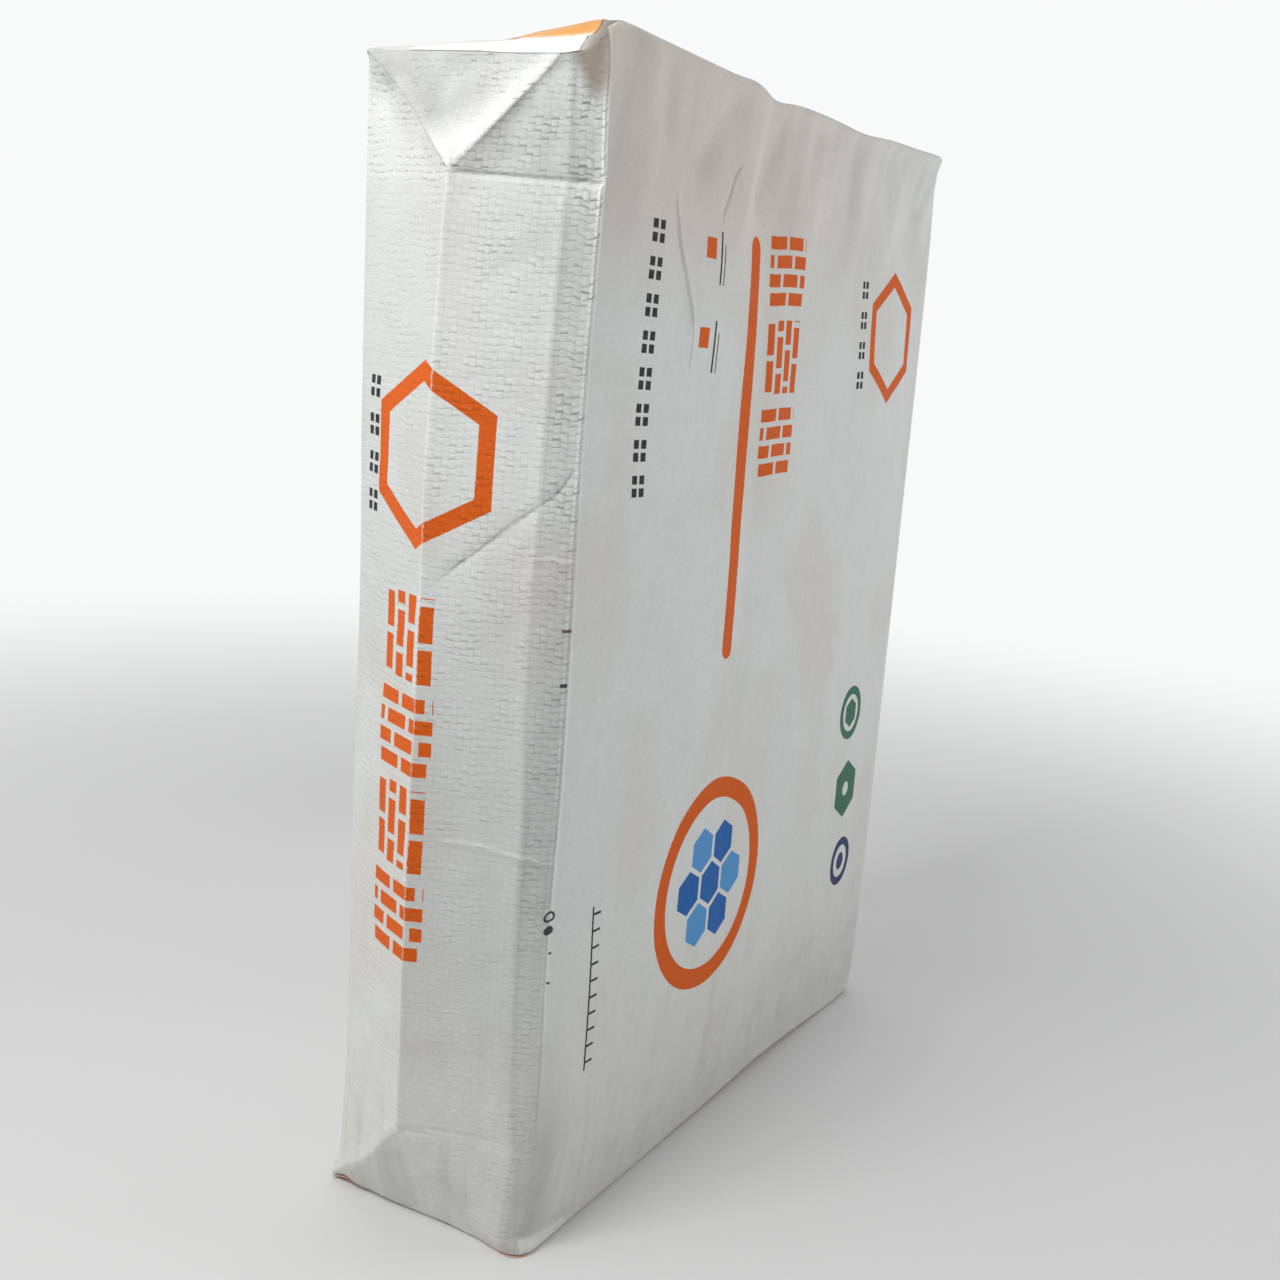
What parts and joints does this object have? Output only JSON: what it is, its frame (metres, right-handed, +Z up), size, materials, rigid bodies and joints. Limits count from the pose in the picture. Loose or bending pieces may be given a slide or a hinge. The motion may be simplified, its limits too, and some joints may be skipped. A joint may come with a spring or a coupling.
{
  "type": "woven polypropylene valve bag",
  "caption": "Filled block-bottom valve bag of woven polypropylene, standing on its block end, with creased narrow sides, printed cover patches and a flat valve sleeve.",
  "frame": {"origin": "bottom centre: the middle of the bottom patch's underside, which stands on the floor", "axes": "+X along the wide face, -Y out of the printed wide face, +Z up along the bag's length; the valve is at the -X end of the top"},
  "size_m": [0.405, 0.1196, 0.5018],
  "materials": {
    "woven_pp": "white woven polypropylene tape with a satin coating and printed marks",
    "printed_patch": "orange printed, coated woven patch, satin",
    "valve_fabric": "plain white coated woven fabric, satin",
    "powder": "packed dry white powder, matte"
  },
  "bodies": {
    "root": {"woven_tube": "woven_pp", "gypsum_fill": "powder", "top_cover_patch": "printed_patch", "bottom_cover_patch": "printed_patch", "valve_sleeve": "valve_fabric"}
  },
  "joints": []
}
